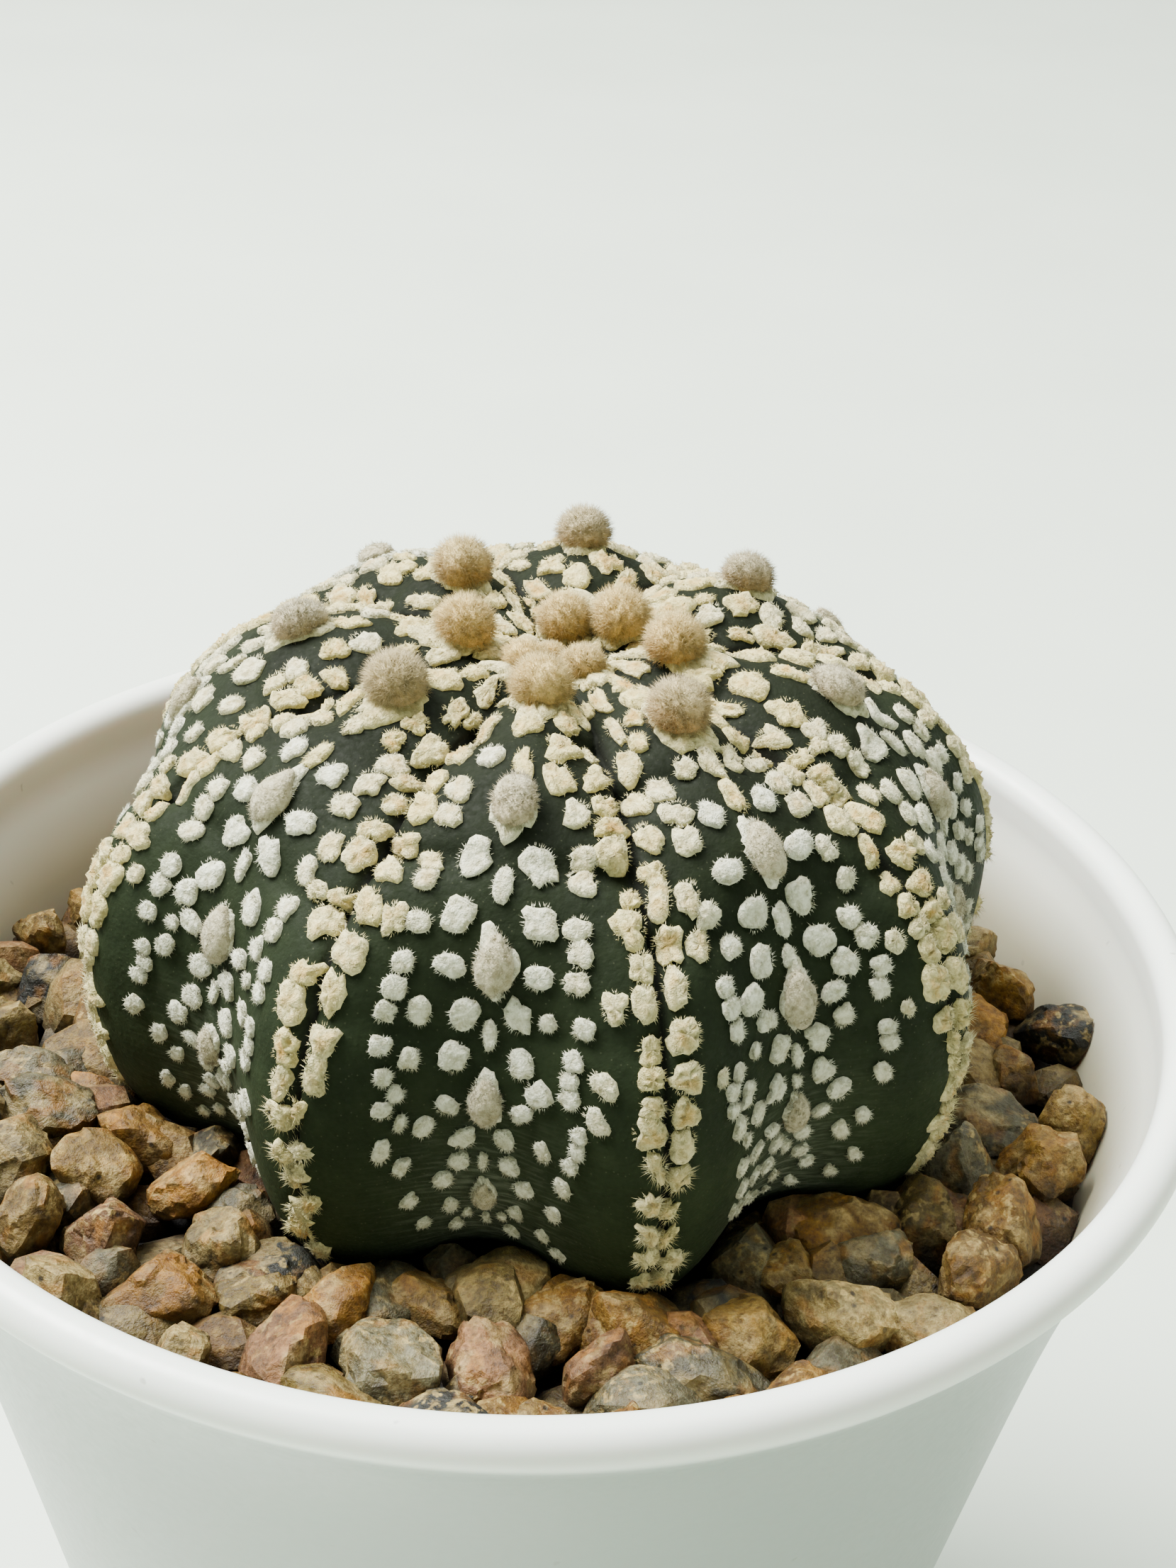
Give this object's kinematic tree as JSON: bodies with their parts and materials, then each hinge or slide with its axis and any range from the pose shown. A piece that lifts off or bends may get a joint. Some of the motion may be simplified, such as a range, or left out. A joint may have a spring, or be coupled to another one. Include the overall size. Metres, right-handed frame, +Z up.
{
  "type": "potted star cactus",
  "caption": "Flattened ribbed star cactus with felt flecks and woolly areoles, standing in gravel in a round tapered plastic pot.",
  "frame": {"origin": "centre of the pot's underside, on the surface that it stands on", "axes": "+Z up through the middle of the pot; -Y towards the front of the plant"},
  "size_m": [0.0854, 0.0854, 0.0932],
  "materials": {
    "pot": "satin",
    "potting_mix": "matte",
    "gravel": "rough",
    "cactus": "waxy matte"
  },
  "bodies": {
    "root": {"pot": "pot", "potting_mix": "potting_mix", "gravel": "gravel", "cactus": "cactus"}
  },
  "joints": []
}
